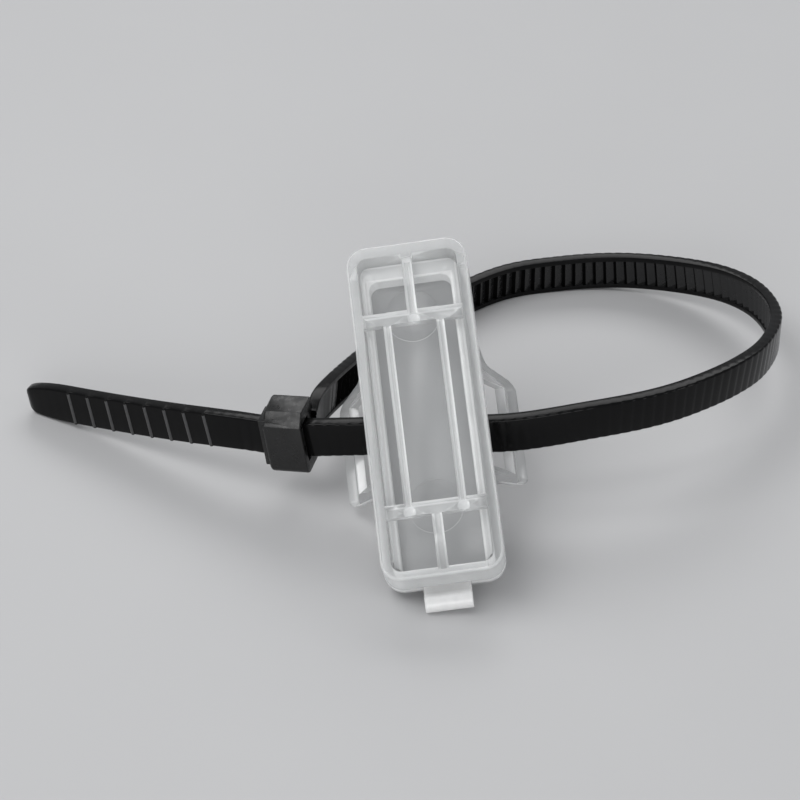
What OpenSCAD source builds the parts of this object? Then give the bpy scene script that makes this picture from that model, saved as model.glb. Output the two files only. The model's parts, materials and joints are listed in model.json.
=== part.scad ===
// Cable marker: a clear flip-lid label holder that a black cable tie straps to a cable.
// The tie lies closed on a flat surface and the holder leans on it, lower end on the surface.
// Frame: +Z up, origin on the surface under the middle of the tie's loop.

/* [Holder body] */
// Length of the holder's body
holder_len = 35.6; // [32:0.2:42]
// Width of the holder's body
holder_w = 12.5; // [11.5:0.1:15]
// Corner radius of the body, seen from the front
corner_r = 2.1; // [1.6:0.1:2.8]
// Radius of the rounded edge round the cover's face
edge_r = 0.5; // [0.3:0.05:0.7]
// Thickness of the back plate
base_t = 1.3; // [1:0.1:1.8]
// Depth of the front cover, from its face to its rim
cover_depth = 4.5; // [4:0.1:6]
// Thickness of the cover's face
face_t = 0.8; // [0.6:0.05:1]
// Thickness of the cover's side and end walls
wall_t = 1.05; // [0.8:0.05:1.2]
// Thickness of the wall that stands on the back plate inside the cover
tray_wall_t = 0.85; // [0.6:0.05:1]
// Height of the wall that stands on the back plate
tray_wall_h = 2.1; // [1.5:0.1:2.2]
// Radius of the corners inside that wall
seat_r = 1; // [0.6:0.1:1.4]
// Gap between the cover and the pieces it closes on
fit_gap = 0.1; // [0.05:0.05:0.15]
// Gap at the upper end, where the closing lid swings in
swing_gap = 0.4; // [0.35:0.05:0.6]

/* [Cover ribs] */
// Depth of the ribs under the cover's face
rib_depth = 1.0; // [0.6:0.1:1.2]
// Thickness of the two cross bars
bar_t = 1.35; // [1:0.05:1.6]
// Distance of the cross bars from the middle of the rib pattern
bar_at = 10.2; // [9:0.1:11]
// Shift of the rib pattern towards the lower end
rib_shift = 0.3; // [0:0.1:0.6]
// Thickness of the two long ribs between the bars
long_rib_t = 0.8; // [0.6:0.05:1]
// Distance of the long ribs from the middle line
long_rib_at = 2.75; // [2.4:0.05:3.2]
// Thickness of the middle ribs beyond the bars
mid_rib_t = 1.05; // [0.8:0.05:1.4]
// Radius of the round ejector marks
mark_r = 2.8; // [2:0.1:3.2]
// Depth of the ejector marks
mark_depth = 0.1; // [0.05:0.05:0.2]

/* [Wings] */
// How far the wings reach back from the back plate
wing_reach = 6.4; // [5.6:0.1:7.5]
// Lean of the wings, outward from straight back
wing_lean = 25; // [18:1:32]
// Lean of the flared tip
tip_lean = 38; // [32:1:55]
// Length of the flared tip, measured straight back
tip_len = 1.3; // [0.8:0.1:1.8]
// Thickness of the wings, measured across the body
wing_t = 1.0; // [0.8:0.05:1.2]
// Length of the wings at their roots
wing_root_len = 16.2; // [15:0.2:18]
// Length of the wings at their tips
wing_tip_len = 11.4; // [10.6:0.2:13]
// Length of the tie slots
slot_len = 9.4; // [8.6:0.1:10]
// Room behind the tie in its slots
slot_gap = 0.2; // [0.1:0.05:0.5]

/* [Hinge strap] */
// Width of the hinge strap
hinge_w = 4.9; // [3.5:0.1:6]
// Thickness of the hinge strap
hinge_t = 0.35; // [0.25:0.05:0.5]
// How far the folded strap stands out of the lower end
fold_reach = 2.5; // [2:0.1:3]

/* [Tie] */
// Width of the strap
strap_w = 4.3; // [3.6:0.1:4.6]
// Thickness of the strap
strap_t = 1.25; // [1:0.05:1.4]
// Width of the two plain rails beside the teeth
rail_w = 0.55; // [0.4:0.05:0.7]
// Pitch of the teeth
tooth_pitch = 1.22; // [1.1:0.01:1.4]
// Depth of the teeth
tooth_depth = 0.38; // [0.2:0.02:0.45]
// Number of grip ridges on the tail
ridge_count = 8; // [4:1:10]
// Pitch of the grip ridges
ridge_pitch = 2.5; // [2.1:0.02:2.8]
// Height of the grip ridges
ridge_h = 0.16; // [0.1:0.02:0.25]
// Reach of the loop to the right of the origin, to the strap's middle
loop_reach = 25.8; // [22:0.2:34]
// Reach of the loop behind the origin, to the strap's middle
loop_back = 20.6; // [18:0.2:26]
// Reach of the tail to the left of the head
tail_reach = 29.1; // [25:0.1:36]
// Length of the tapered tip
taper_len = 5.5; // [4:0.1:7]
// Length of the head along its tunnel
head_len = 4.3; // [3.8:0.1:5]
// Width of the head, along the strap's width
head_w = 7.4; // [7.1:0.1:8.2]
// Thickness of the head's walls in front of and behind the tunnel
head_wall = 0.85; // [0.8:0.05:1.1]
// Depth of the pawl's space behind the tunnel
pawl_room = 0.85; // [0.8:0.05:1.2]
// Chamfer along the head's upper front edge
head_chamfer = 1.2; // [0.6:0.1:1.2]
// Gap around the strap in the head's tunnel
tunnel_gap = 0.25; // [0.2:0.05:0.35]

/* [Hidden] */
$fn = 64;
tiny = 0.01;

// Colours
clear_milky = [0.88, 0.90, 0.90, 0.55];
stress_white = [0.96, 0.96, 0.95, 0.9];
nylon_black = [0.03, 0.03, 0.035];

// Directions of a turn about X and about Z
function turn_x(a) = [[1, 0, 0], [0, cos(a), -sin(a)], [0, sin(a), cos(a)]];
function turn_z(a) = [[cos(a), -sin(a), 0], [sin(a), cos(a), 0], [0, 0, 1]];
function unit(v) = v / norm(v);

// An outline of [x, y, corner radius] points, with each corner rounded to its own radius
corner_steps = 6;
function corner(a, b, c) =
    b.z == 0 ? [[b.x, b.y]] :
    let (o = [b.x, b.y], p = unit([a.x, a.y] - o), q = unit([c.x, c.y] - o), half = acos(p * q) / 2)
    let (mid = o + unit(p + q) * b.z / sin(half), reach = b.z / tan(half))
    [for (k = [0 : corner_steps]) mid + b.z * unit(o - mid + reach * (p + (q - p) * k / corner_steps))];
function rounded_outline(points) =
    let (m = len(points))
    [for (i = [0 : m - 1]) each corner(points[(i + m - 1) % m], points[i], points[(i + 1) % m])];

// Holder in its own frame: X across, Y along its length, Z out of its front, origin mid-back
body_half_w = holder_w / 2;
body_half_len = holder_len / 2;
cover_z = base_t + fit_gap;
front_z = cover_z + cover_depth;
ceiling_z = front_z - face_t;
inner_half_w = body_half_w - wall_t;
inner_half_len = body_half_len - wall_t;
inner_r = corner_r - wall_t;
tray_half_w = inner_half_w - fit_gap;
tray_half_len = inner_half_len - swing_gap;
tray_top_t = 2 * tray_wall_t;
seat_half_w = tray_half_w - tray_wall_t;
seat_high = tray_half_len - tray_top_t;
boss_r = 0.7;
boss_h = 0.15;

// Hinge fold: a half ring that joins a leg on the base to a leg on the cover
fold_r = (cover_z + hinge_t) / 2;
fold_mid_z = fold_r;
fold_mid_y = -body_half_len - fold_reach + fold_r;

// Rest: the middle of the holder's back, its turn on the surface and its roll about its own face
holder_at = [-12.7, -18.1, 11.3];
holder_turn = -8.4;
holder_roll = 13.4;
// The pitch lets the fold's lower corner down on the surface
fold_arm = hinge_w / 2 * sin(holder_roll) - fold_mid_y * cos(holder_roll);
fold_dist = norm([fold_arm, fold_mid_z]);
holder_pitch = asin((holder_at.z - fold_r) / fold_dist) + atan2(fold_mid_z, fold_arm);
holder_axes = turn_z(holder_turn) * turn_x(holder_pitch) * turn_z(holder_roll);
function from_holder(p) = holder_at + holder_axes * p;

// Strap: it stands on edge all the way round
strap_up = [0, 0, 1];
half_w = strap_w / 2;
half_t = strap_t / 2;

// Stretch behind the holder, in the holder's frame: clear of the back plate by fit_gap
through_skew = -0.11;
through = unit(holder_axes * [1, through_skew, 0]);
through_side = cross(through, unit(strap_up - (strap_up * through) * through));
back_dir = holder_axes * [0, 0, 1];
strap_depth = strap_w * abs(strap_up * back_dir) + strap_t * abs(through_side * back_dir);
strap_drop = strap_depth / 2 + fit_gap;
slot_mid = -0.8;
slot_top = fit_gap / 2;
slot_w = strap_depth + slot_gap + fit_gap - slot_top;
through_half = 8.5;

// Wing outline seen from the side: distance behind the back plate, place along the body, corner radius
wing_inset = 0.15;
neck_at = 1.3;
neck_r = 1.6;
tip_r = 1.7;
root_low = slot_mid + 0.9 - wing_root_len / 2;
root_high = root_low + wing_root_len;
tip_low = slot_mid + 0.1 - wing_tip_len / 2;
tip_high = tip_low + wing_tip_len;
neck_rise = 0.7;
wing_outline = rounded_outline([
    [-base_t / 2, root_high, 0], [0, root_high, 0], [neck_at, tip_high + neck_rise, neck_r],
    [wing_reach, tip_high, tip_r], [wing_reach, tip_low, tip_r / 2],
    [neck_at, tip_low - neck_rise, neck_r / 2], [0, root_low, 0], [-base_t / 2, root_low, 0]
]);

// Route of the strap's middle: x, y and the height of its lower edge, from the tail's tip to the head's root
function raised(p) = [p.x, p.y, p.z + half_w];
head_place = [-27.2, -15.8, 5.2];
head_at = raised(head_place);
tail_points = [[-56.3, -1.9, -0.5], [-46.8, -6.9, 1.4], [-40, -10.4, 2.9], [-33.3, -13.6, 4.4]];
tail_stretch = tail_reach / (head_place.x - tail_points[0].x);
tail_route = [
    for (p = tail_points) [head_place.x + (p.x - head_place.x) * tail_stretch, p.y, p.z]
];
holder_route = [
    for (u = [-through_half, 0, through_half]) from_holder([u, slot_mid + through_skew * u, -strap_drop])
];
// The loop as drawn, and stretched to its reach on the sides that the holder leaves free
loop_points = [
    [4.1, -17.4, 8.7], [10.4, -15.5, 8.7], [15.2, -13, 8.5], [20.2, -8.8, 7.8],
    [23.7, -3.8, 6.7], [25.8, 3, 5.2], [25, 9.6, 3.8], [22.1, 14.6, 2.6], [17.2, 18.3, 1.4],
    [10.2, 20.6, 0.5], [3, 20.5, 0.1], [-4.2, 18.4, 0.1], [-12, 12, 0.4], [-18.2, 2.8, 1.8]
];
reach_stretch = loop_reach / max([for (p = loop_points) p.x]);
back_stretch = loop_back / max([for (p = loop_points) p.y]);
function stretched(a, k) = a > 0 ? a * k : a;
loop_route = [for (p = loop_points) [stretched(p.x, reach_stretch), stretched(p.y, back_stretch), p.z]];
head_along = unit(holder_route[0] - raised(tail_route[len(tail_route) - 1]));
head_up = unit(strap_up - (strap_up * head_along) * head_along);
head_in = -cross(head_along, head_up);
head_front = half_t + tunnel_gap + head_wall;
head_back = half_t + tunnel_gap + pawl_room + head_wall;
root_out = 0.3;
root_run = 4;
root_at = head_at + head_along * (head_len / 2 + root_out - half_t);
root_route = [root_at + head_in * (head_back + root_run), root_at + head_in * (head_back - head_wall / 2)];
route = concat(
    [for (p = tail_route) raised(p)], [head_at], holder_route, [for (p = loop_route) raised(p)], root_route
);

// A smooth curve through the route's points, with q counting the points
last = len(route) - 1;
function route_point(i) =
    i < 0 ? 2 * route[0] - route[1] : i > last ? 2 * route[last] - route[last - 1] : route[i];
function blend4(a, b, c, d, t) =
    (2 * b + (c - a) * t + (2 * a - 5 * b + 4 * c - d) * t * t + (3 * b - a - 3 * c + d) * t * t * t) / 2;
function curve(q) =
    let (i = max(0, min(last - 1, floor(q))))
    blend4(route_point(i - 1), route_point(i), route_point(i + 1), route_point(i + 2), q - i);

// Distance along the curve against q
steps = last * 16;
dq = last / steps;
arc = [
    for (k = 0, s = 0; k <= steps; s = s + norm(curve((k + 1) * dq) - curve(k * dq)), k = k + 1) [s, k * dq]
];
strap_len = arc[steps][0];
head_s = lookup(len(tail_route), [for (a = arc) [a[1], a[0]]]);
function along(s) =
    let (q = lookup(s, arc))
    unit(curve(min(last, q + 0.02)) - curve(max(0, q - 0.02)));

// Section of the strap: half its width, the outer face and the floor of the toothed track
edge_cut = 0.22;
flush = -half_t + 0.06;
tooth_top = -half_t + 0.1;
tooth_root = tooth_top + tooth_depth;
function section(h, outer, track) = [
    [outer, -h + edge_cut], [outer, h - edge_cut], [outer - edge_cut, h], [-half_t, h], [-half_t, h - rail_w],
    [track, h - rail_w], [track, -h + rail_w], [-half_t, -h + rail_w], [-half_t, -h], [outer - edge_cut, -h]
];
function taper(s) = half_w * (0.52 + 0.48 * sqrt(1 - pow(1 - min(1, s / taper_len), 2)));

// Stations along the strap: distance, half width, outer face, track floor
ridge_t = 0.36;
ridge_start = taper_len + ridge_t;
ridge_step = ridge_t * 0.3;
tooth_gap = 1.5;
tooth_start = ridge_start + ridge_count * ridge_pitch + tooth_gap;
neck_len = 6;
tooth_count = floor((strap_len - neck_len - tooth_start) / tooth_pitch);
tip_stations = [for (k = [0 : 5]) let (s = taper_len * pow(k / 5, 2)) [s, taper(s), half_t, flush]];
ridge_stations = [
    for (k = [0 : ridge_count - 1], c = [[0, 0], [ridge_step, 1], [ridge_t - ridge_step, 1], [ridge_t, 0]])
    [ridge_start + k * ridge_pitch + c[0], half_w, half_t + c[1] * ridge_h, flush]
];
tooth_stations = [
    for (k = [0 : tooth_count - 1], c = [[0, tooth_top], [0.25, tooth_root]])
    [tooth_start + (k + c[0]) * tooth_pitch, half_w, half_t, c[1]]
];
neck_stations = [
    for (k = [0 : 4]) [strap_len - (neck_len - tooth_pitch) * (1 - k / 4), half_w, half_t, flush]
];
stations = concat(tip_stations, ridge_stations, tooth_stations, neck_stations);

// One solid swept through the stations
function ring(st) =
    let (p = curve(lookup(st[0], arc)), t = along(st[0]))
    let (w = unit(strap_up - (strap_up * t) * t), n = cross(t, w))
    [for (c = section(st[1], st[2], st[3])) p + c[0] * n + c[1] * w];
module swept_strap() {
    m = len(section(1, 1, 0));
    rings = len(stations);
    points = [for (st = stations) each ring(st)];
    sides = [
        for (i = [0 : rings - 2], j = [0 : m - 1])
        let (a = i * m + j, b = i * m + (j + 1) % m)
        each [[a, b, b + m], [a, b + m, a + m]]
    ];
    first_cap = [for (j = [m - 1 : -1 : 0]) j];
    last_cap = [for (j = [0 : m - 1]) (rings - 1) * m + j];
    polyhedron(points, concat([first_cap], sides, [last_cap]));
}

// The head's frame: X along its tunnel, Y into the loop, Z along the strap's width
module at_head() {
    multmatrix([
        [head_along.x, head_in.x, head_up.x, head_at.x],
        [head_along.y, head_in.y, head_up.y, head_at.y],
        [head_along.z, head_in.z, head_up.z, head_at.z]
    ]) children();
}

// A block from its lowest to its highest corner
module block(low, high) {
    translate(low) cube(high - low);
}

module tie_head() {
    head_cut = 0.8;
    exit_lip = 0.45;
    pawl_gap = 0.2;
    mouth_y = half_t + tunnel_gap;
    mouth_z = half_w + tunnel_gap;
    pawl_w = strap_w - 2 * (rail_w + pawl_gap);
    entry_x = head_len / 2 - head_wall;
    difference() {
        union() {
            // Block with its edges cut, drawn along the tunnel
            rotate([90, 0, 90])
                translate([0, 0, -head_len / 2])
                linear_extrude(head_len)
                polygon(rounded_outline([
                    [-head_front, -head_w / 2, head_cut], [head_back, -head_w / 2, head_cut / 2],
                    [head_back, head_w / 2, head_cut / 2], [-head_front + head_chamfer, head_w / 2, 0],
                    [-head_front, head_w / 2 - head_chamfer, 0]
                ]));
            // Thin lip round the tunnel's exit
            block(
                [-head_len / 2 - exit_lip, -mouth_y - exit_lip, -mouth_z - exit_lip],
                [0, mouth_y + exit_lip, mouth_z + exit_lip]
            );
        }
        block([-head_len, -mouth_y, -mouth_z], [head_len, mouth_y, mouth_z]);
        block(
            [-head_len, 0, -pawl_w / 2 - tunnel_gap],
            [entry_x, head_back - head_wall, pawl_w / 2 + tunnel_gap]
        );
    }
    // Pawl: a wedge that springs from the entry wall towards the teeth
    translate([0, 0, -pawl_w / 2])
        linear_extrude(pawl_w)
        polygon([
            [entry_x + tiny, head_back - head_wall - pawl_gap], [entry_x + tiny, mouth_y + pawl_gap / 2],
            [-head_len / 4, half_t + fit_gap / 2], [-head_len / 4 - pawl_gap, mouth_y + pawl_gap]
        ]);
}

module cable_tie() {
    color(nylon_black) {
        swept_strap();
        at_head() tie_head();
    }
}

module place_holder() {
    translate(holder_at)
        rotate([holder_pitch, 0, holder_turn])
        rotate([0, 0, holder_roll])
        children();
}

// Rounded rectangle about the middle
module rounded(w, l, r) {
    square([w, l - 2 * r], center = true);
    square([w - 2 * r, l], center = true);
    for (x = [-1, 1], y = [-1, 1]) {
        translate([x * (w / 2 - r), y * (l / 2 - r)]) circle(r);
    }
}

// Plate of the body's outline with a rounded edge round its upper face
module soft_plate(h) {
    hull() {
        for (a = [0 : 30 : 90]) {
            inset = edge_r * (1 - cos(a));
            linear_extrude(h - edge_r * (1 - sin(a)))
                rounded(holder_w - 2 * inset, holder_len - 2 * inset, corner_r - inset, $fn = 32);
        }
    }
}

// One wing on the +X side: a leaning blade with a flared tip, trimmed to its outline and slotted
module wing() {
    knee = wing_reach - tip_len;
    knee_x = body_half_w - wing_t - wing_inset + knee * tan(wing_lean);
    foot_x = knee_x - (knee + base_t / 2) * tan(wing_lean);
    tip_x = knee_x + 2 * tip_len * tan(tip_lean);
    tip_z = knee + 2 * tip_len;
    difference() {
        intersection() {
            translate([0, holder_len / 2, 0])
                rotate([90, 0, 0])
                linear_extrude(holder_len)
                polygon([
                    [foot_x, base_t / 2], [knee_x, -knee], [tip_x, -tip_z],
                    [tip_x + wing_t, -tip_z], [knee_x + wing_t, -knee], [foot_x + wing_t, base_t / 2]
                ]);
            rotate([0, 90, 0]) linear_extrude(2 * holder_w) polygon(wing_outline);
        }
        translate([0, slot_mid, -slot_top - slot_w / 2])
            rotate([0, 90, 0])
            linear_extrude(2 * holder_w)
            square([slot_w, slot_len], center = true);
    }
}

module holder_base() {
    color(clear_milky)
        place_holder() {
            linear_extrude(base_t) rounded(holder_w, holder_len, corner_r);
            // Wall round three sides of the label's seat, thicker at the upper end
            translate([0, 0, base_t - tiny])
                linear_extrude(tray_wall_h + tiny)
                difference() {
                    rounded(2 * tray_half_w, 2 * tray_half_len, inner_r);
                    translate([0, (seat_high - holder_len) / 2])
                        rounded(2 * seat_half_w, seat_high + holder_len, seat_r);
                }
            wing();
            mirror([1, 0, 0]) wing();
        }
}

// Ribs on the underside of the cover's face, as a flat pattern
module rib_pattern() {
    end_reach = inner_half_len + wall_t / 2;
    for (y = [-1, 1]) {
        bar_y = y * bar_at - rib_shift;
        translate([0, bar_y]) square([2 * inner_half_w + wall_t, bar_t], center = true);
        translate([0, (bar_y + y * end_reach) / 2])
            square([mid_rib_t, abs(y * end_reach - bar_y)], center = true);
    }
    for (x = [-1, 1]) {
        translate([x * long_rib_at, -rib_shift]) square([long_rib_t, 2 * bar_at], center = true);
    }
}

// Small round bosses where the ribs meet the bars
module boss_pattern() {
    low_bar = -bar_at - rib_shift;
    high_bar = bar_at - rib_shift;
    for (p = [[0, high_bar], [0, inner_half_len], [-long_rib_at, low_bar], [long_rib_at, low_bar]]) {
        translate(p) circle(boss_r);
    }
}

module holder_cover() {
    color(clear_milky)
        place_holder() {
            difference() {
                translate([0, 0, cover_z]) soft_plate(cover_depth);
                translate([0, 0, cover_z - tiny])
                    linear_extrude(cover_depth - face_t + tiny)
                    rounded(2 * inner_half_w, 2 * inner_half_len, inner_r);
                for (y = [-1, 1]) {
                    translate([0, y * bar_at - rib_shift, ceiling_z - tiny])
                        cylinder(r = mark_r, h = mark_depth + tiny);
                }
            }
            translate([0, 0, ceiling_z - rib_depth])
                linear_extrude(rib_depth + mark_depth + tiny)
                rib_pattern();
            translate([0, 0, ceiling_z - rib_depth - boss_h])
                linear_extrude(rib_depth + mark_depth)
                boss_pattern();
        }
}

module hinge_strap() {
    color(stress_white)
        place_holder()
        rotate([90, 0, 90])
        translate([0, 0, -hinge_w / 2])
        linear_extrude(hinge_w) {
            difference() {
                translate([fold_mid_y, fold_mid_z]) circle(fold_r);
                translate([fold_mid_y, fold_mid_z]) circle(fold_r - hinge_t);
                translate([fold_mid_y, fold_mid_z - holder_len]) square([holder_len, 2 * holder_len]);
            }
            for (z = [0, 2 * fold_r - hinge_t]) {
                translate([fold_mid_y - tiny, z]) square([-body_half_len - fold_mid_y + tiny, hinge_t]);
            }
        }
}

holder_base();
holder_cover();
hinge_strap();
cable_tie();
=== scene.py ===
"""Looks of the cable marker: a milky clear label holder strapped on a black cable tie."""
import json
import math

import bmesh
import bpy
import numpy as np
from mathutils import Matrix, Vector


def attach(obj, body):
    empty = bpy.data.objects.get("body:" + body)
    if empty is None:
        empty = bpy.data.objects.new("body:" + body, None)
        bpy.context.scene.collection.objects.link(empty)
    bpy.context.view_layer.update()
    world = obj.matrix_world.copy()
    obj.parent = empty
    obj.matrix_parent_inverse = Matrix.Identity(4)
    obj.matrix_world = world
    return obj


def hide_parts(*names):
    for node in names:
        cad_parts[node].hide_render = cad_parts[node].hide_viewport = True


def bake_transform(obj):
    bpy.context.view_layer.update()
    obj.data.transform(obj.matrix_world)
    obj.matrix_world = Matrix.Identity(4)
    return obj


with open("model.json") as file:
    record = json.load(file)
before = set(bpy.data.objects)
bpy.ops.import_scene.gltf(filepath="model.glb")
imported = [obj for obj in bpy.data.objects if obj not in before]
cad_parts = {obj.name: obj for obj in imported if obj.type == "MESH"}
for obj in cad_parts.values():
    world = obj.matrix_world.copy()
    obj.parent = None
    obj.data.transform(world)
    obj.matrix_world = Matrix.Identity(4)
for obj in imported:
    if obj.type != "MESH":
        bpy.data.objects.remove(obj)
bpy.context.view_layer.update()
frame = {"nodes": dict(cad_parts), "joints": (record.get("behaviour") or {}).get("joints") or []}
scene = bpy.context.scene

# Sizes below are in millimetres, and MM turns them into the frame's metres
MM = 0.001

# Holder's own frame: X across, Y along its length, Z out of its front, origin mid-back
HOLDER_AT = Vector((-12.7, -18.1, 11.3))
HOLDER_TURN = math.radians(-8.4)
HOLDER_ROLL = math.radians(13.4)
hinge_joint = frame["joints"][0]
holder_pitch = math.asin(hinge_joint["axis"][2] / math.sin(HOLDER_ROLL))
holder_turned = (
    Matrix.Rotation(HOLDER_TURN, 3, "Z")
    @ Matrix.Rotation(holder_pitch, 3, "X")
    @ Matrix.Rotation(HOLDER_ROLL, 3, "Z")
)
holder_axes = np.array(holder_turned)
holder_frame = Matrix.Translation(HOLDER_AT * MM) @ holder_turned.to_4x4() @ Matrix.Scale(MM, 4)
to_holder = holder_frame.inverted()

# Holder: its body, its ribs and the fold of its hinge
BODY_W, BODY_LEN = 12.5, 35.6
WALL_T, FACE_T = 1.05, 0.8
BASE_T, COVER_DEPTH, FIT_GAP = 1.3, 4.5, 0.1
TRAY_WALL_T, SWING_GAP = 0.85, 0.4
BAR_T, BAR_AT, RIB_SHIFT = 1.35, 10.2, 0.3
LONG_RIB_T, LONG_RIB_AT = 0.8, 2.75
MID_RIB_T = 1.05
MARK_DEPTH, BOSS_R = 0.1, 0.7
HINGE_W, HINGE_T, HINGE_EDGE_R, FOLD_REACH = 4.9, 0.35, 0.126, 2.5
cover_z = BASE_T + FIT_GAP
ceiling_z = cover_z + COVER_DEPTH - FACE_T
inner_half_w = BODY_W / 2 - WALL_T
inner_half_len = BODY_LEN / 2 - WALL_T
tray_half_w = inner_half_w - FIT_GAP
tray_half_len = inner_half_len - SWING_GAP
seat_half_w = tray_half_w - TRAY_WALL_T
seat_high = tray_half_len - 2 * TRAY_WALL_T

# Tie: its strap, teeth, grip ridges and head
STRAP_W, STRAP_T, RAIL_W = 4.3, 1.25, 0.55
TOOTH_PITCH, TOOTH_DEPTH, TOOTH_GAP = 1.22, 0.38, 1.5
RIDGE_COUNT, RIDGE_PITCH, RIDGE_H, RIDGE_T = 8, 2.5, 0.16, 0.36
TAPER_LEN, NECK_LEN = 5.5, 6.0
HEAD_LEN, HEAD_W, HEAD_WALL = 4.3, 7.4, 0.85
HEAD_CHAMFER, HEAD_CUT, HEAD_LEDGE = 1.2, 0.8, 0.14
PAWL_ROOM, PAWL_GAP, TUNNEL_GAP, EXIT_LIP = 0.85, 0.2, 0.25, 0.45
half_w, half_t = STRAP_W / 2, STRAP_T / 2

# Strap's finer shape: its round edges, its tip, and how far the track and the outer face lie back
EDGE_R, EDGE_R_MORE, EDGE_GROWTH = 0.22, 0.08, 3
RAIL_R, RAIL_LIP_R = 0.10, 0.05
TIP_SHARE, TIP_THIN, TIP_LEN, TIP_STEPS = 0.52, 0.30, 0.8, 14
TRACK_BACK, TOOTH_BACK, RIPPLE_BACK = 0.06, 0.10, 0.02
NECK_STEPS, TANGENT_REACH = 6, 0.4

# Edges: the gap that is welded, how far they are rounded, and the angles up to which faces shade as one
WELD_GAP, PLATE_ROUND, HEAD_ROUND = 0.0005, 0.10, 0.05
PLATE_SMOOTH, HINGE_SMOOTH, STRAP_SMOOTH, HEAD_SMOOTH = 40, 50, 38, 30


# Small helpers for meshes
def new_object(name, verts, faces):
    mesh = bpy.data.meshes.new(name)
    mesh.from_pydata([tuple(v) for v in verts], [], [tuple(f) for f in faces])
    mesh.validate()
    obj = bpy.data.objects.new(name, mesh)
    scene.collection.objects.link(obj)
    return obj


def finished(obj, smooth_angle):
    """Turns an object's modifiers into its mesh, shaded smooth up to an angle."""
    bpy.context.view_layer.update()
    graph = bpy.context.evaluated_depsgraph_get()
    mesh = bpy.data.meshes.new_from_object(obj.evaluated_get(graph))
    obj.modifiers.clear()
    obj.data = mesh
    mesh.name = obj.name
    for face in mesh.polygons:
        face.use_smooth = True
    mesh.set_sharp_from_angle(angle=math.radians(smooth_angle))
    return obj


def flat_faces(obj, beside_rounds=False):
    normals = obj.modifiers.new("flat_faces", "WEIGHTED_NORMAL")
    normals.keep_sharp = True
    normals.use_face_influence = beside_rounds


def face_outward(obj):
    """Turns all the faces of a closed mesh outward."""
    bm = bmesh.new()
    bm.from_mesh(obj.data)
    bmesh.ops.recalc_face_normals(bm, faces=bm.faces)
    bm.to_mesh(obj.data)
    bm.free()


def round_edges(obj, width, angle=30):
    """Rounds the edges that point outward, with faces split first that could close a hole."""
    bm = bmesh.new()
    bm.from_mesh(obj.data)
    bmesh.ops.triangulate(bm, faces=[face for face in bm.faces if len(face.verts) > 4])
    weight = bm.edges.layers.float.new("bevel_weight_edge")
    for edge in bm.edges:
        if edge.is_convex and edge.calc_face_angle() > math.radians(angle):
            edge[weight] = 1.0
    bm.to_mesh(obj.data)
    bm.free()
    bevel = obj.modifiers.new("round_edges", "BEVEL")
    bevel.width = width * MM
    bevel.segments = 2
    bevel.limit_method = "WEIGHT"
    bevel.use_clamp_overlap = False
    bevel.face_strength_mode = "FSTR_ALL"
    flat_faces(obj, True)


def cad_copy(node, name, width=0.0):
    """A piece of the node's own shape, with its edges rounded where a width is given."""
    obj = bpy.data.objects.new(name, frame["nodes"][node].data.copy())
    scene.collection.objects.link(obj)
    bm = bmesh.new()
    bm.from_mesh(obj.data)
    bmesh.ops.remove_doubles(bm, verts=bm.verts, dist=WELD_GAP * MM)
    if width:
        bmesh.ops.dissolve_limit(bm, angle_limit=math.radians(1), verts=bm.verts, edges=bm.edges)
    for face in bm.faces:
        face.smooth = True
    bm.to_mesh(obj.data)
    bm.free()
    obj.data.materials.clear()
    obj.data.set_sharp_from_angle(angle=math.radians(PLATE_SMOOTH))
    if width:
        round_edges(obj, width)
    else:
        flat_faces(obj)
    return finished(obj, PLATE_SMOOTH)


def plan_map(obj):
    """A map of each point's place across and along the holder, in millimetres."""
    layer = obj.data.uv_layers.new(name="plan")
    for loop in obj.data.loops:
        p = to_holder @ obj.data.vertices[loop.vertex_index].co
        layer.data[loop.index].uv = (p.x, p.y)


# Small helpers for materials
class Shader:
    """A material's nodes, with short calls for the ones used here."""

    def __init__(self, name):
        self.material = bpy.data.materials.new(name)
        self.material.use_nodes = True
        self.nodes = self.material.node_tree.nodes
        self.links = self.material.node_tree.links
        self.main = self.nodes["Principled BSDF"]

    def node(self, kind, **values):
        made = self.nodes.new(kind)
        for name, value in values.items():
            setattr(made, name, value)
        return made

    def put(self, socket, value):
        if isinstance(value, bpy.types.NodeSocket):
            self.links.new(value, socket)
        else:
            socket.default_value = value

    def math(self, operation, a, b=0.0):
        made = self.node("ShaderNodeMath", operation=operation)
        self.put(made.inputs[0], a)
        self.put(made.inputs[1], b)
        return made.outputs[0]

    def fade(self, value, low, high, at_low=0.0, at_high=1.0):
        made = self.node("ShaderNodeMapRange", interpolation_type="SMOOTHSTEP")
        for socket, given in zip(made.inputs, (value, low, high, at_low, at_high)):
            self.put(socket, given)
        return made.outputs[0]

    def noise(self, scale, detail=4.0):
        made = self.node("ShaderNodeTexNoise")
        made.inputs["Scale"].default_value = scale
        made.inputs["Detail"].default_value = detail
        self.put(made.inputs["Vector"], self.node("ShaderNodeTexCoord").outputs["Object"])
        return made.outputs["Fac"]

    def uv(self, name):
        split = self.node("ShaderNodeSeparateXYZ")
        self.put(split.inputs[0], self.node("ShaderNodeUVMap", uv_map=name).outputs[0])
        return split.outputs[0], split.outputs[1]

    def blend(self, share, a, b):
        made = self.node("ShaderNodeMix", data_type="RGBA")
        self.put(made.inputs["Factor"], share)
        self.put(made.inputs["A"], a)
        self.put(made.inputs["B"], b)
        return made.outputs["Result"]

    def bump(self, height, distance, strength):
        made = self.node("ShaderNodeBump")
        made.inputs["Strength"].default_value = strength
        made.inputs["Distance"].default_value = distance * MM
        self.put(made.inputs["Height"], height)
        self.put(self.main.inputs["Normal"], made.outputs[0])

    def set(self, **values):
        for name, value in values.items():
            self.put(self.main.inputs[name.replace("_", " ")], value)
        return self.material


# Between these two values lies most of what a noise gives
NOISE_SPAN = 0.3, 0.7

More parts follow.
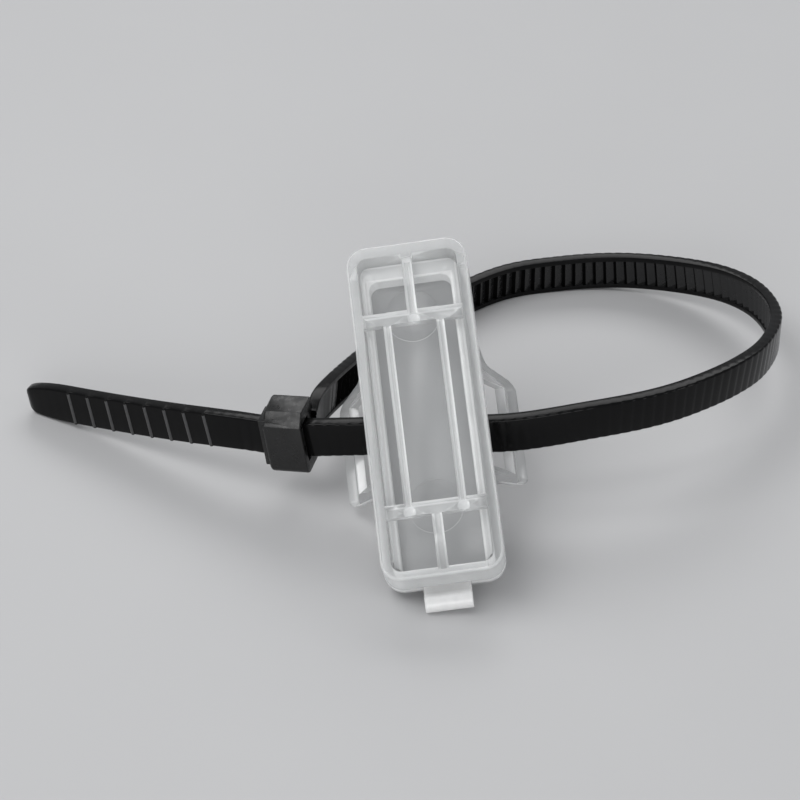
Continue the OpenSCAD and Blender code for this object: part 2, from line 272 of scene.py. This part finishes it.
# Clear plastic: its colours, and how much of what lies behind its thinnest faces is veiled
WHITE, MILK = (0.93, 0.94, 0.94), (0.90, 0.91, 0.91)
RIM_MILK, TRAY_MILK = (0.84, 0.85, 0.85), (0.72, 0.73, 0.73)
# The seat's grey is painted shade, standing in for the shaded floor seen through the clear back plate
SEAT_SHADE_GREY, BLADE_GREY = (0.28, 0.285, 0.29), (0.36, 0.37, 0.375)
PANE_VEIL, FRONT_VEIL, BLADE_VEIL, HINGE_VEIL = 0.08, 0.11, 0.22, 0.22

# What the ribs and the painted highlight lines along their edges add to the panes' veil
RIB_VEIL, PAINTED_HIGHLIGHT_VEIL = 0.44, 0.44

# Painted highlight lines along edges: full up to the first distance from the edge and gone past the
# second
RIB_PAINTED_HIGHLIGHT, TRAY_PAINTED_HIGHLIGHT = (0.14, 0.30), (0.16, 0.32)
RIB_BLUR = 0.03


def box_distance(shader, x, y, middle, half):
    """How far a point of the holder's plan lies outside a rectangle, below 0 inside it."""
    across = shader.math("ABSOLUTE", shader.math("SUBTRACT", x, middle[0]))
    along = shader.math("ABSOLUTE", shader.math("SUBTRACT", y, middle[1]))
    across = shader.math("SUBTRACT", across, half[0])
    along = shader.math("SUBTRACT", along, half[1])
    return shader.math("MAXIMUM", across, along)


def milky(name, colour, veil, glow=0.0, polish=(0.12, 0.20)):
    """Milky clear plastic: its veil hides what lies behind, and its glow lets light in from all sides."""
    shader = Shader(name)
    cloud = shader.noise(260.0)
    shader.bump(shader.noise(900.0, 2.0), 0.01, 0.2)
    shader.set(
        Base_Color=shader.blend(cloud, (*(0.94 * c for c in colour), 1), (*colour, 1)),
        Roughness=shader.fade(cloud, *NOISE_SPAN, *polish),
        Specular_IOR_Level=0.9,
        Subsurface_Weight=glow,
        Subsurface_Radius=(1.0, 1.0, 1.0),
        Subsurface_Scale=1.5 * MM,
        Alpha=shader.fade(cloud, *NOISE_SPAN, 0.96 * veil, min(1.0, 1.04 * veil)),
    )
    return shader


def rib_plastic():
    """The cover's inner face: clear in its panes, milky on its ribs, with painted highlights along their
    edges and on the bosses.
    """
    shader = milky("rib_plastic", WHITE, PANE_VEIL)
    x, y = shader.uv("plan")
    boxes = []
    for side in (-1, 1):
        bar_y = side * BAR_AT - RIB_SHIFT
        end_y = side * BODY_LEN / 2
        boxes.append(((0, bar_y), (inner_half_w, BAR_T / 2)))
        boxes.append(((0, (bar_y + end_y) / 2), (MID_RIB_T / 2, abs(end_y - bar_y) / 2)))
        boxes.append(((side * LONG_RIB_AT, -RIB_SHIFT), (LONG_RIB_T / 2, BAR_AT)))
    outside = box_distance(shader, x, y, *boxes[0])
    for box in boxes[1:]:
        outside = shader.math("MINIMUM", outside, box_distance(shader, x, y, *box))
    rib = shader.fade(outside, -RIB_BLUR, RIB_BLUR, 1.0, 0.0)
    # Painted highlight: a whiter band along the inside of each rib's edge, for the light its clear edges
    # pick up
    painted_highlight = shader.math("MULTIPLY", rib, shader.fade(outside, -RIB_PAINTED_HIGHLIGHT[1], -RIB_PAINTED_HIGHLIGHT[0]))
    low_bar, high_bar = -BAR_AT - RIB_SHIFT, BAR_AT - RIB_SHIFT
    # Painted highlight: whiter spots over the bosses
    for spot in ((0, high_bar), (0, inner_half_len), (-LONG_RIB_AT, low_bar), (LONG_RIB_AT, low_bar)):
        across = shader.math("POWER", shader.math("SUBTRACT", x, spot[0]), 2.0)
        along = shader.math("POWER", shader.math("SUBTRACT", y, spot[1]), 2.0)
        away = shader.math("SQRT", shader.math("ADD", across, along))
        painted_highlight = shader.math("MAXIMUM", painted_highlight, shader.fade(away, BOSS_R - 0.15, BOSS_R + 0.02, 1.0, 0.0))
    rib_veil = shader.math("MULTIPLY", rib, RIB_VEIL)
    painted_highlight_veil = shader.math("MULTIPLY", painted_highlight, PAINTED_HIGHLIGHT_VEIL)
    return shader.set(Alpha=shader.math("ADD", PANE_VEIL, shader.math("ADD", rib_veil, painted_highlight_veil)))


# The label's seat in plan, open at the lower end
SEAT = (0, (seat_high - BODY_LEN) / 2), (seat_half_w, (seat_high + BODY_LEN) / 2)


def seat_plastic():
    """The back plate: a grey ground in the label's seat, painted shade standing in for the shaded floor
    seen through the clear plate, and whiter round it.
    """
    shader = milky("seat_plastic", SEAT_SHADE_GREY, 0.99, 0.0, (0.30, 0.40))
    x, y = shader.uv("plan")
    outside = box_distance(shader, x, y, *SEAT)
    cloud = shader.noise(180.0)
    ground = shader.blend(cloud, (0.27, 0.275, 0.28, 1), (*SEAT_SHADE_GREY, 1))
    whiter = shader.fade(outside, 0.2, 0.7)
    return shader.set(Base_Color=shader.blend(whiter, ground, (0.74, 0.75, 0.75, 1)))


def tray_plastic():
    """The top of the wall round the seat, with painted highlight lines along both of its edges."""
    shader = milky("tray_plastic", TRAY_MILK, 0.85, 0.6)
    x, y = shader.uv("plan")
    seat = box_distance(shader, x, y, *SEAT)
    rim = box_distance(shader, x, y, (0, 0), (tray_half_w, tray_half_len))
    depth = shader.math("MINIMUM", seat, shader.math("MULTIPLY", rim, -1.0))
    # Painted highlight: a whiter colour in bands along both edges of the wall's top
    painted_highlight = shader.fade(depth, *TRAY_PAINTED_HIGHLIGHT, 1.0, 0.0)
    return shader.set(Base_Color=shader.blend(painted_highlight, (*TRAY_MILK, 1), (0.95, 0.96, 0.96, 1)))


def hinge_plastic():
    """Clear where it leaves the cover and stress-white round its fold."""
    shader = milky("hinge_plastic", (0.96, 0.96, 0.95), HINGE_VEIL, 0.5)
    along = shader.uv("strip")[0]
    white = shader.fade(along, 0.86, 0.93, 1.0, 0.0)
    streaks = shader.noise(1500.0, 3.0)
    shader.bump(streaks, 0.012, 0.4)
    veil = shader.math("MULTIPLY", white, shader.fade(streaks, 0.2, 0.7, 0.68, 0.76))
    return shader.set(
        Roughness=shader.fade(white, 0.0, 1.0, 0.12, 0.34),
        Alpha=shader.math("ADD", HINGE_VEIL, veil),
    )


def strap_nylon():
    """Glossy black, with the faint cross waves that the teeth leave on the outer face."""
    shader = Shader("strap_nylon")
    along = shader.uv("strap")[0]
    phase = shader.math("MULTIPLY", along, 2 * math.pi / TOOTH_PITCH)
    grain = shader.noise(2200.0, 3.0)
    waves = shader.math("MULTIPLY", shader.math("SINE", phase), 0.5)
    shader.bump(shader.math("ADD", waves, shader.math("MULTIPLY", grain, 0.3)), 0.012, 0.5)
    return shader.set(
        Base_Color=shader.blend(grain, (0.002, 0.002, 0.002, 1), (0.004, 0.004, 0.0043, 1)),
        Roughness=shader.fade(grain, *NOISE_SPAN, 0.14, 0.22),
        Specular_IOR_Level=0.15,
    )


def track_nylon():
    """The toothed track: glossy on the teeth, with painted shade down in the grooves between them: darker
    colour and weaker reflection.
    """
    shader = Shader("track_nylon")
    along = shader.math("SUBTRACT", shader.uv("strap")[0], tooth_start)
    share = shader.math("FRACT", shader.math("DIVIDE", along, TOOTH_PITCH))
    tooth = shader.fade(share, 0.22, 0.36)
    grain = shader.noise(2400.0, 3.0)
    shader.bump(grain, 0.008, 0.4)
    return shader.set(
        # Painted shade: darker colour and weaker reflection in the grooves between the teeth
        Base_Color=shader.blend(tooth, (0.002, 0.002, 0.002, 1), (0.012, 0.012, 0.0125, 1)),
        Roughness=shader.fade(grain, *NOISE_SPAN, 0.18, 0.28),
        Specular_IOR_Level=shader.fade(tooth, 0.0, 1.0, 0.04, 0.45),
    )


def ridge_nylon():
    """The tail's grip ridges, painted a lighter grey along their tops as a painted highlight."""
    shader = Shader("ridge_nylon")
    grain = shader.noise(2600.0, 4.0)
    shader.bump(grain, 0.01, 0.4)
    return shader.set(
        # Painted highlight: the ridges' tops are a lighter grey than the strap
        Base_Color=shader.blend(grain, (0.045, 0.045, 0.046, 1), (0.085, 0.085, 0.087, 1)),
        Roughness=shader.fade(grain, *NOISE_SPAN, 0.32, 0.46),
        Specular_IOR_Level=0.35,
    )


def head_nylon():
    """The head's moulded skin is greyer and rougher than the strap."""
    shader = Shader("head_nylon")
    grain = shader.noise(1500.0, 6.0)
    blotch = shader.noise(420.0, 3.0)
    shader.bump(shader.math("ADD", grain, shader.math("MULTIPLY", blotch, 0.6)), 0.05, 0.5)
    return shader.set(
        Base_Color=shader.blend(blotch, (0.005, 0.005, 0.005, 1), (0.012, 0.012, 0.012, 1)),
        Roughness=shader.fade(grain, *NOISE_SPAN, 0.24, 0.42),
        Specular_IOR_Level=0.42,
    )


# Holder: the back plate with its wings, and the cover
def paint(obj, materials, zone):
    """Gives each face the material that its place and its way in the holder's frame call for."""
    for material in materials:
        obj.data.materials.append(material)
    for face in obj.data.polygons:
        face.material_index = zone(to_holder @ face.center, holder_turned.transposed() @ face.normal)


# Zones: how near a plane a face's middle lies, and how squarely the face looks along an axis
PLANE_SLACK, WALL_SLACK, RIM_SLACK = 0.02, 0.05, 0.2
FLAT, FRONT_FLAT, BLADE_FLAT, RIM_FLAT = 0.9, 0.95, 0.75, 0.5


def base_zone(place, way):
    ground, wall_top, blade, blade_edge, edge = range(5)
    if place.z < -PLANE_SLACK or abs(place.x) > BODY_W / 2 + PLANE_SLACK:
        return blade if abs(way.x) > BLADE_FLAT else blade_edge
    if place.z > BASE_T + WALL_SLACK:
        return wall_top if way.z > FLAT else edge
    return ground if abs(way.z) > FLAT else edge


def cover_zone(place, way):
    front, ribs, edge, shell, rim = range(5)
    inside = abs(place.x) < inner_half_w + PLANE_SLACK and abs(place.y) < inner_half_len + PLANE_SLACK
    if inside and place.z < ceiling_z + MARK_DEPTH + PLANE_SLACK:
        return ribs if way.z < -FLAT else edge
    if way.z > FRONT_FLAT:
        return front
    return rim if way.z < -RIM_FLAT and place.z < cover_z + RIM_SLACK else shell


# bright_edge and blade_rim: edge faces near-opaque white, partly the milky plastic seen edge-on and
# partly a painted highlight for the bright lines clear edges show
bright_edge = milky("bright_edge", WHITE, 0.90, 0.8).material
blade_clear = milky("blade_clear", BLADE_GREY, BLADE_VEIL).material
blade_rim = milky("blade_rim", MILK, 0.82, 0.7).material
front_clear = milky("front_clear", WHITE, FRONT_VEIL).material
shell_milky = milky("shell_milky", MILK, 0.50, 0.6).material
rim_milky = milky("rim_milky", RIM_MILK, 0.85, 0.6).material

base = cad_copy("holder_base", "base_plate", PLATE_ROUND)
plan_map(base)
paint(base, (seat_plastic(), tray_plastic(), blade_clear, blade_rim, bright_edge), base_zone)
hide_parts("holder_base")
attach(base, "marker")

cover = cad_copy("holder_cover", "cover_shell")
plan_map(cover)
paint(cover, (front_clear, rib_plastic(), bright_edge, shell_milky, rim_milky), cover_zone)
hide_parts("holder_cover")
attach(cover, "cover")


# Small helpers for swept shapes
def sweep(name, rings):
    """A closed tube through rings of points, each ring an array of the same number of points."""
    count = len(rings[0])
    faces = []
    for i in range(len(rings) - 1):
        for j in range(count):
            k = (j + 1) % count
            faces.append((i * count + j, i * count + k, (i + 1) * count + k, (i + 1) * count + j))
    faces.append(tuple(range(count))[::-1])
    faces.append(tuple((len(rings) - 1) * count + j for j in range(count)))
    tube = new_object(name, np.vstack(rings), faces)
    face_outward(tube)
    return tube


def ring_map(obj, name, alongs, acrosses):
    """A map of each ring's distance along a sweep and each point's place across it."""
    count = len(acrosses)
    layer = obj.data.uv_layers.new(name=name)
    for loop in obj.data.loops:
        ring, point = divmod(loop.vertex_index, count)
        layer.data[loop.index].uv = (alongs[ring], acrosses[point])


def arc(middle, radius, start, end, steps):
    angles = np.radians(np.linspace(start, end, steps + 1))
    return np.column_stack([middle[0] + radius * np.cos(angles), middle[1] + radius * np.sin(angles)])


# Hinge: a thin strip folded over at the holder's lower end, between base and cover
def hinge_fold():
    fold_r = (BASE_T + FIT_GAP + HINGE_T) / 2
    mid_r = fold_r - HINGE_T / 2
    fold_y = -BODY_LEN / 2 - FOLD_REACH + fold_r
    body_end = -BODY_LEN / 2
    leg = np.linspace(body_end, fold_y, 7)[:-1]
    low_leg = np.column_stack([leg, np.full(len(leg), fold_r - mid_r)])
    high_leg = np.column_stack([leg[::-1], np.full(len(leg), fold_r + mid_r)])
    path = np.vstack([low_leg, arc((fold_y, fold_r), mid_r, 270, 90, 24), high_leg])
    tangents = np.gradient(path, axis=0)
    tangents /= np.linalg.norm(tangents, axis=1)[:, None]
    corners = []
    for x, z, start in ((1, 1, 0), (-1, 1, 90), (-1, -1, 180), (1, -1, 270)):
        middle = (x * (HINGE_W / 2 - HINGE_EDGE_R), z * (HINGE_T / 2 - HINGE_EDGE_R))
        corners.append(arc(middle, HINGE_EDGE_R, start, start + 90, 4))
    section = np.vstack(corners)
    rings = []
    for (y, z), (ty, tz) in zip(path, tangents):
        local = np.column_stack([section[:, 0], y - tz * section[:, 1], z + ty * section[:, 1]])
        rings.append(np.array([holder_frame @ Vector(p) for p in local]))
    strip = sweep("hinge_fold", rings)
    shares = np.linspace(0, 1, len(path))
    ring_map(strip, "strip", shares, section[:, 0])
    strip.data.materials.append(hinge_plastic())
    finished(strip, HINGE_SMOOTH)
    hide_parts("hinge_strap")
    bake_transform(strip)


hinge_fold()


# Tie: the strap's route in the frame
def unit(v):
    return np.array(v) / np.linalg.norm(v)


def raised(points):
    return np.array(points) + [0, 0, half_w]


# Points of the tail, the head and the loop as x, y and the height of the strap's lower edge
TAIL_ROUTE = [(-56.3, -1.9, -0.5), (-46.8, -6.9, 1.4), (-40, -10.4, 2.9), (-33.3, -13.6, 4.4)]
HEAD_AT = (-27.2, -15.8, 5.2)
LOOP_ROUTE = [
    (4.1, -17.4, 8.7), (10.4, -15.5, 8.7), (15.2, -13, 8.5), (20.2, -8.8, 7.8), (23.7, -3.8, 6.7),
    (25.8, 3, 5.2), (25, 9.6, 3.8), (22.1, 14.6, 2.6), (17.2, 18.3, 1.4), (10.2, 20.6, 0.5),
    (3, 20.5, 0.1), (-4.2, 18.4, 0.1), (-12, 12, 0.4), (-18.2, 2.8, 1.8),
]

# The straight runs between them, through the wing slots and into the head's back
THROUGH_SKEW, THROUGH_HALF, SLOT_MID = -0.11, 8.5, -0.8
ROOT_OUT, ROOT_RUN = 0.3, 4.0
strap_up = np.array([0.0, 0.0, 1.0])
through = unit(holder_axes @ [1, THROUGH_SKEW, 0])
through_side = np.cross(through, unit(strap_up - (strap_up @ through) * through))
back_dir = holder_axes @ [0, 0, 1]
strap_drop = (STRAP_W * abs(strap_up @ back_dir) + STRAP_T * abs(through_side @ back_dir)) / 2 + FIT_GAP
holder_route = np.array([
    np.array(HOLDER_AT) + holder_axes @ [u, SLOT_MID + THROUGH_SKEW * u, -strap_drop]
    for u in (-THROUGH_HALF, 0, THROUGH_HALF)
])
tail = raised(TAIL_ROUTE)
head_at = raised(HEAD_AT)
head_along = unit(holder_route[0] - tail[-1])
head_up = unit(strap_up - (strap_up @ head_along) * head_along)
head_in = -np.cross(head_along, head_up)
head_front = half_t + TUNNEL_GAP + HEAD_WALL
head_back = half_t + TUNNEL_GAP + PAWL_ROOM + HEAD_WALL
root_at = head_at + head_along * (HEAD_LEN / 2 + ROOT_OUT - half_t)
root_route = [root_at + head_in * (head_back + ROOT_RUN), root_at + head_in * (head_back - HEAD_WALL / 2)]
route = np.vstack([tail, head_at, holder_route, raised(LOOP_ROUTE), root_route])


def smooth_curve(points, steps=40):
    """A curve through the points, finely sampled."""
    ends = np.vstack([2 * points[0] - points[1], points, 2 * points[-1] - points[-2]])
    t = np.linspace(0, 1, steps, endpoint=False)[:, None]
    parts = []
    for a, b, c, d in zip(ends[:-3], ends[1:-2], ends[2:-1], ends[3:]):
        rise = (2 * a - 5 * b + 4 * c - d) * t**2
        turn = (3 * b - a - 3 * c + d) * t**3
        parts.append((2 * b + (c - a) * t + rise + turn) / 2)
    return np.vstack([*parts, points[-1:]])


curve = smooth_curve(route)
lengths = np.concatenate([[0], np.cumsum(np.linalg.norm(np.diff(curve, axis=0), axis=1))])
strap_len = lengths[-1]
ridge_start = TAPER_LEN + RIDGE_T
tooth_start = ridge_start + RIDGE_COUNT * RIDGE_PITCH + TOOTH_GAP


def on_curve(s):
    return np.array([np.interp(s, lengths, curve[:, k]) for k in range(3)])


def strap_section(half, outer, track):
    """Points round the strap's section: rounded outer edges, two rails and the track between."""
    outer_r = EDGE_R + min(EDGE_R_MORE, max(0.0, EDGE_GROWTH * (half_t - outer)))
    rail_in = half - RAIL_W
    upper = np.vstack([
        arc((outer - outer_r, half - outer_r), outer_r, 0, 90, 4),
        arc((-half_t + RAIL_R, half - RAIL_R), RAIL_R, 90, 180, 2),
        arc((-half_t + RAIL_LIP_R, rail_in + RAIL_LIP_R), RAIL_LIP_R, 180, 270, 2),
        [(track, rail_in)],
    ])
    lower = upper[::-1] * [1, -1]
    return np.vstack([upper, lower])


def strap_stations():
    """Places along the strap: distance, half width, outer face and the track's floor."""
    flush = -half_t + TRACK_BACK
    top = -half_t + TOOTH_BACK
    root = top + TOOTH_DEPTH
    found = []
    for k in range(TIP_STEPS + 1):
        s = TAPER_LEN * (k / TIP_STEPS) ** 2
        half = half_w * (TIP_SHARE + (1 - TIP_SHARE) * math.sqrt(1 - (1 - s / TAPER_LEN) ** 2))
        thin = TIP_THIN * max(0.0, 1 - s / TIP_LEN) ** 2
        found.append((s, half, half_t - thin, flush))
    # Shares of a ridge's thickness and of its height
    crown = (0, 0), (0.15, 0.75), (0.33, 1), (0.67, 1), (0.85, 0.75), (1, 0)
    for k in range(RIDGE_COUNT):
        for share, height in crown:
            s = ridge_start + k * RIDGE_PITCH + share * RIDGE_T
            found.append((s, half_w, half_t + height * RIDGE_H, flush))
    tooth_count = math.floor((strap_len - NECK_LEN - tooth_start) / TOOTH_PITCH)
    # Share of a tooth's pitch, the track's floor there, and the share of the ripple on the outer face
    profile = [
        (0, top, 0), (0.04, top + 0.04, 0.2), (0.20, root - 0.05, 0.9), (0.26, root, 1),
        (0.32, root - 0.02, 0.9), (0.60, (root + top) / 2, 0.2), (0.94, top + 0.02, 0),
    ]
    for k in range(tooth_count):
        for share, track, sink in profile:
            s = tooth_start + (k + share) * TOOTH_PITCH
            found.append((s, half_w, half_t - RIPPLE_BACK * sink, track))
    for k in range(NECK_STEPS + 1):
        s = strap_len - (NECK_LEN - TOOTH_PITCH) * (1 - k / NECK_STEPS)
        found.append((s, half_w, half_t, flush))
    return found


def tie_strap():
    """The strap with its tip, ridges and teeth, swept along the route."""
    rings, alongs, outers = [], [], []
    for s, half, outer, track in strap_stations():
        ahead, behind = min(strap_len, s + TANGENT_REACH), max(0, s - TANGENT_REACH)
        t = unit(on_curve(ahead) - on_curve(behind))
        w = unit(strap_up - (strap_up @ t) * t)
        n = np.cross(t, w)
        section = strap_section(half, outer, track)
        rings.append((on_curve(s) + section[:, :1] * n + section[:, 1:] * w) * MM)
        alongs.append(s)
        outers.append(outer)
    strap = sweep("tie_strap", rings)
    ring_map(strap, "strap", alongs, strap_section(half_w, half_t, -half_t)[:, 1])
    for material in (strap_nylon(), track_nylon(), ridge_nylon()):
        strap.data.materials.append(material)
    plain, toothed, ridged = range(3)
    points = len(rings[0])
    track_sides = range(points // 2 - 2, points // 2 + 1)
    for face in strap.data.polygons[: points * (len(rings) - 1)]:
        station, side = divmod(face.index, points)
        in_teeth = tooth_start <= alongs[station] < strap_len - NECK_LEN
        on_ridge = max(outers[station : station + 2]) > half_t and side == points - 1
        outside = ridged if on_ridge else plain
        face.material_index = toothed if in_teeth and side in track_sides else outside
    finished(strap, STRAP_SMOOTH)
    return strap


head_axes = Matrix((head_along, head_in, head_up)).transposed()
head_frame = Matrix.Translation(Vector(head_at) * MM) @ head_axes.to_4x4()


def block(name, low, high):
    x, y, z = zip(low, high)
    verts = [Vector((x[i], y[j], z[k])) * MM for i in (0, 1) for j in (0, 1) for k in (0, 1)]
    faces = [(0, 1, 3, 2), (4, 6, 7, 5), (0, 4, 5, 1), (2, 3, 7, 6), (0, 2, 6, 4), (1, 5, 7, 3)]
    return new_object(name, verts, faces)


def combine(target, other, operation):
    """Joins another object to the head or cuts it out, and removes it."""
    cut = target.modifiers.new(operation.lower(), "BOOLEAN")
    cut.operation = operation
    cut.object = other
    cut.solver = "EXACT"
    finished(target, HEAD_SMOOTH)
    bpy.data.objects.remove(other)


def tie_head():
    """The head in its own frame: X along its tunnel, Y into the loop, Z along the strap's width."""
    mouth_y, mouth_z = half_t + TUNNEL_GAP, half_w + TUNNEL_GAP
    pawl_half = STRAP_W / 2 - RAIL_W - PAWL_GAP
    entry_x = HEAD_LEN / 2 - HEAD_WALL
    low, high, back_cut = -HEAD_W / 2, HEAD_W / 2, HEAD_CUT / 2
    outline = np.array([
        *arc((-head_front + HEAD_CUT, low + HEAD_CUT), HEAD_CUT, 180, 270, 6),
        *arc((head_back - back_cut, low + back_cut), back_cut, 270, 360, 4),
        *arc((head_back - back_cut, high - back_cut), back_cut, 0, 90, 4),
        (-head_front + HEAD_CHAMFER, high),
        (-head_front + HEAD_LEDGE, high - HEAD_CHAMFER),
        (-head_front, high - HEAD_CHAMFER - HEAD_LEDGE / 4),
    ])
    middle_y, half_y = (head_back - head_front) / 2, (head_back + head_front) / 2
    rings = []
    # Each end's rounding: how far from the exit, and how far the outline is drawn in there
    exit_round = (0, 0.34), (0.08, 0.18), (0.2, 0.06), (0.36, 0)
    entry_round = (HEAD_LEN - 0.08, 0), (HEAD_LEN, 0.06)
    for from_exit, inset in exit_round + entry_round:
        y = middle_y + (outline[:, 0] - middle_y) * (1 - inset / half_y)
        z = outline[:, 1] * (1 - inset / high)
        rings.append(np.column_stack([np.full(len(y), from_exit - HEAD_LEN / 2), y, z]) * MM)
    head = sweep("tie_head", rings)
    lip_y, lip_z = mouth_y + EXIT_LIP, mouth_z + EXIT_LIP
    lip_end = exit_round[-1][0] - HEAD_LEN / 2
    lip = block("lip", (-HEAD_LEN / 2 - EXIT_LIP, -lip_y, -lip_z), (lip_end, lip_y, lip_z))
    combine(head, lip, "UNION")
    tunnel = block("tunnel", (-HEAD_LEN, -mouth_y, -mouth_z), (HEAD_LEN, mouth_y, mouth_z))
    combine(head, tunnel, "DIFFERENCE")
    room_z = pawl_half + TUNNEL_GAP
    room = block("room", (-HEAD_LEN, 0, -room_z), (entry_x, head_back - HEAD_WALL, room_z))
    combine(head, room, "DIFFERENCE")
    tip_x = -HEAD_LEN / 4
    wedge = np.array([
        (entry_x + PAWL_GAP, head_back - HEAD_WALL - PAWL_GAP),
        (entry_x + PAWL_GAP, mouth_y + PAWL_GAP / 2),
        (tip_x, half_t + FIT_GAP / 2),
        (tip_x - PAWL_GAP, mouth_y + PAWL_GAP),
    ])
    ends = [np.column_stack([wedge, np.full(len(wedge), z)]) * MM for z in (-pawl_half, pawl_half)]
    combine(head, sweep("pawl", ends), "UNION")
    round_edges(head, HEAD_ROUND, angle=25)
    finished(head, HEAD_SMOOTH)
    head.data.transform(head_frame)
    head.data.materials.append(head_nylon())
    return head


for piece in (tie_strap(), tie_head()):
    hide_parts("cable_tie")
    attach(piece, "marker")


# Stage: a pale floor and soft lamps, placed in metres, and the photograph's camera
def floor():
    half = 1.5
    verts = [(-half, -half, 0), (half, -half, 0), (half, half, 0), (-half, half, 0)]
    plane = new_object("floor", verts, [(0, 1, 2, 3)])
    shader = Shader("floor")
    grain = shader.noise(40.0)
    plane.data.materials.append(shader.set(
        Base_Color=shader.blend(grain, (0.52, 0.52, 0.525, 1), (0.54, 0.54, 0.545, 1)),
        Roughness=0.45,
        Specular_IOR_Level=0.3,
    ))


def area_light(name, at, target, size, power):
    lamp = bpy.data.lights.new(name, "AREA")
    lamp.shape = "RECTANGLE"
    lamp.size, lamp.size_y = size
    lamp.energy = power
    obj = bpy.data.objects.new(name, lamp)
    obj.location = at
    obj.rotation_euler = (Vector(target) - Vector(at)).to_track_quat("-Z", "Y").to_euler()
    scene.collection.objects.link(obj)


floor()
middle = (-0.012, -0.012, 0.008)
area_light("key", (-0.24, -0.06, 0.40), middle, (0.30, 0.30), 0.95)
area_light("front", (-0.06, -0.46, 0.16), middle, (0.36, 0.20), 0.75)
area_light("back", (0.05, 0.36, 0.32), middle, (0.44, 0.22), 0.75)
area_light("side", (0.36, -0.22, 0.16), middle, (0.10, 0.22), 0.20)

world = bpy.data.worlds.new("studio")
world.use_nodes = True
sky = world.node_tree.nodes["Background"]
sky.inputs["Color"].default_value = (0.95, 0.97, 1.0, 1)
sky.inputs["Strength"].default_value = 0.36
scene.world = world

CAMERA_AT, CAMERA_TILT = Vector((-15.556, -240.14, 190.73)), math.radians(51.5)
SENSOR_W, FOCAL_LEN = 36, 124.2
lens = bpy.data.cameras.new("camera")
lens.sensor_width = SENSOR_W
lens.lens = FOCAL_LEN
lens.clip_start, lens.clip_end = 0.01, 10
camera = bpy.data.objects.new("camera", lens)
camera.location = CAMERA_AT * MM
camera.rotation_euler = (CAMERA_TILT, 0, 0)
scene.collection.objects.link(camera)
scene.camera = camera
scene.view_settings.view_transform = "Standard"
